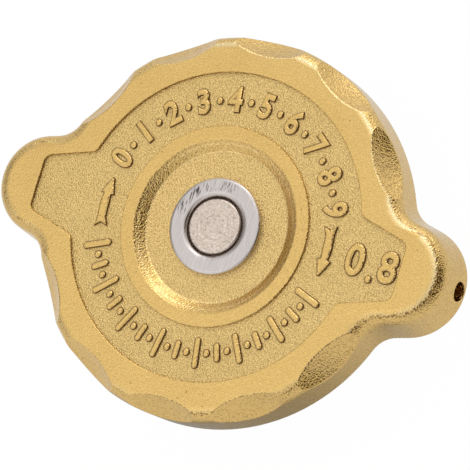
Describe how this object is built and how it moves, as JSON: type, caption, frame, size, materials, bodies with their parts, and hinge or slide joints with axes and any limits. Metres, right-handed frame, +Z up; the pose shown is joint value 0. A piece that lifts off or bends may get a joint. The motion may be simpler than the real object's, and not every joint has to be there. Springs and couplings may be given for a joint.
{
  "type": "radiator pressure cap",
  "caption": "Round bayonet pressure cap with finger lugs and a scalloped edge, riveted through its face over a sprung pressure valve and a vacuum valve.",
  "frame": {"origin": "on the rivet axis, level with the underside of the valve seal on which the cap stands", "axes": "+Z up the rivet, out of the face that the hand turns; +X along the finger lugs, towards the lug with the hole"},
  "size_m": [0.0784, 0.0598, 0.022],
  "materials": {
    "cover_gold": "satin gold anodised casting, fine grain in the sunk field",
    "washer_steel": "brushed, a few dark scuffs",
    "rivet_steel": "turned rings on the head",
    "plated_steel": "bright plated pressing",
    "spring_steel": "drawn wire and sheet",
    "seal_rubber": "matt moulded",
    "valve_brass": "satin turned"
  },
  "bodies": {
    "cap_body": {"cover": "cover_gold", "cup_washer": "washer_steel", "rivet": "rivet_steel", "bayonet_shell": "plated_steel", "backing_washer": "plated_steel"},
    "valve_guide": {"guide_shell": "plated_steel", "spring_disc": "spring_steel", "upper_gasket": "seal_rubber", "main_spring": "spring_steel"},
    "pressure_valve": {"spring_cup": "plated_steel", "seal_plate": "plated_steel", "valve_seal": "seal_rubber", "eyelet": "valve_brass", "vacuum_spring": "spring_steel"},
    "vacuum_poppet": {"vacuum_valve": "valve_brass", "vacuum_seal": "seal_rubber", "spring_clip": "valve_brass"}
  },
  "joints": [
    {"name": "valve_swivel", "type": "hinge", "parent": "cap_body", "child": "valve_guide", "pos_m": [0, 0, 0.0165], "axis": [0, 0, 1], "continuous": true},
    {"name": "pressure_valve_lift", "type": "slide", "parent": "valve_guide", "child": "pressure_valve", "axis": [0, 0, 1], "range_m": [0, 0.003], "stiffness_N_per_m": 8000, "springref_m": -0.0003, "deforming": ["main_spring"]},
    {"name": "vacuum_valve_drop", "type": "slide", "parent": "pressure_valve", "child": "vacuum_poppet", "axis": [0, 0, -1], "range_m": [0, 0.0015], "stiffness_N_per_m": 290, "springref_m": -0.0003, "deforming": ["vacuum_spring"]}
  ]
}
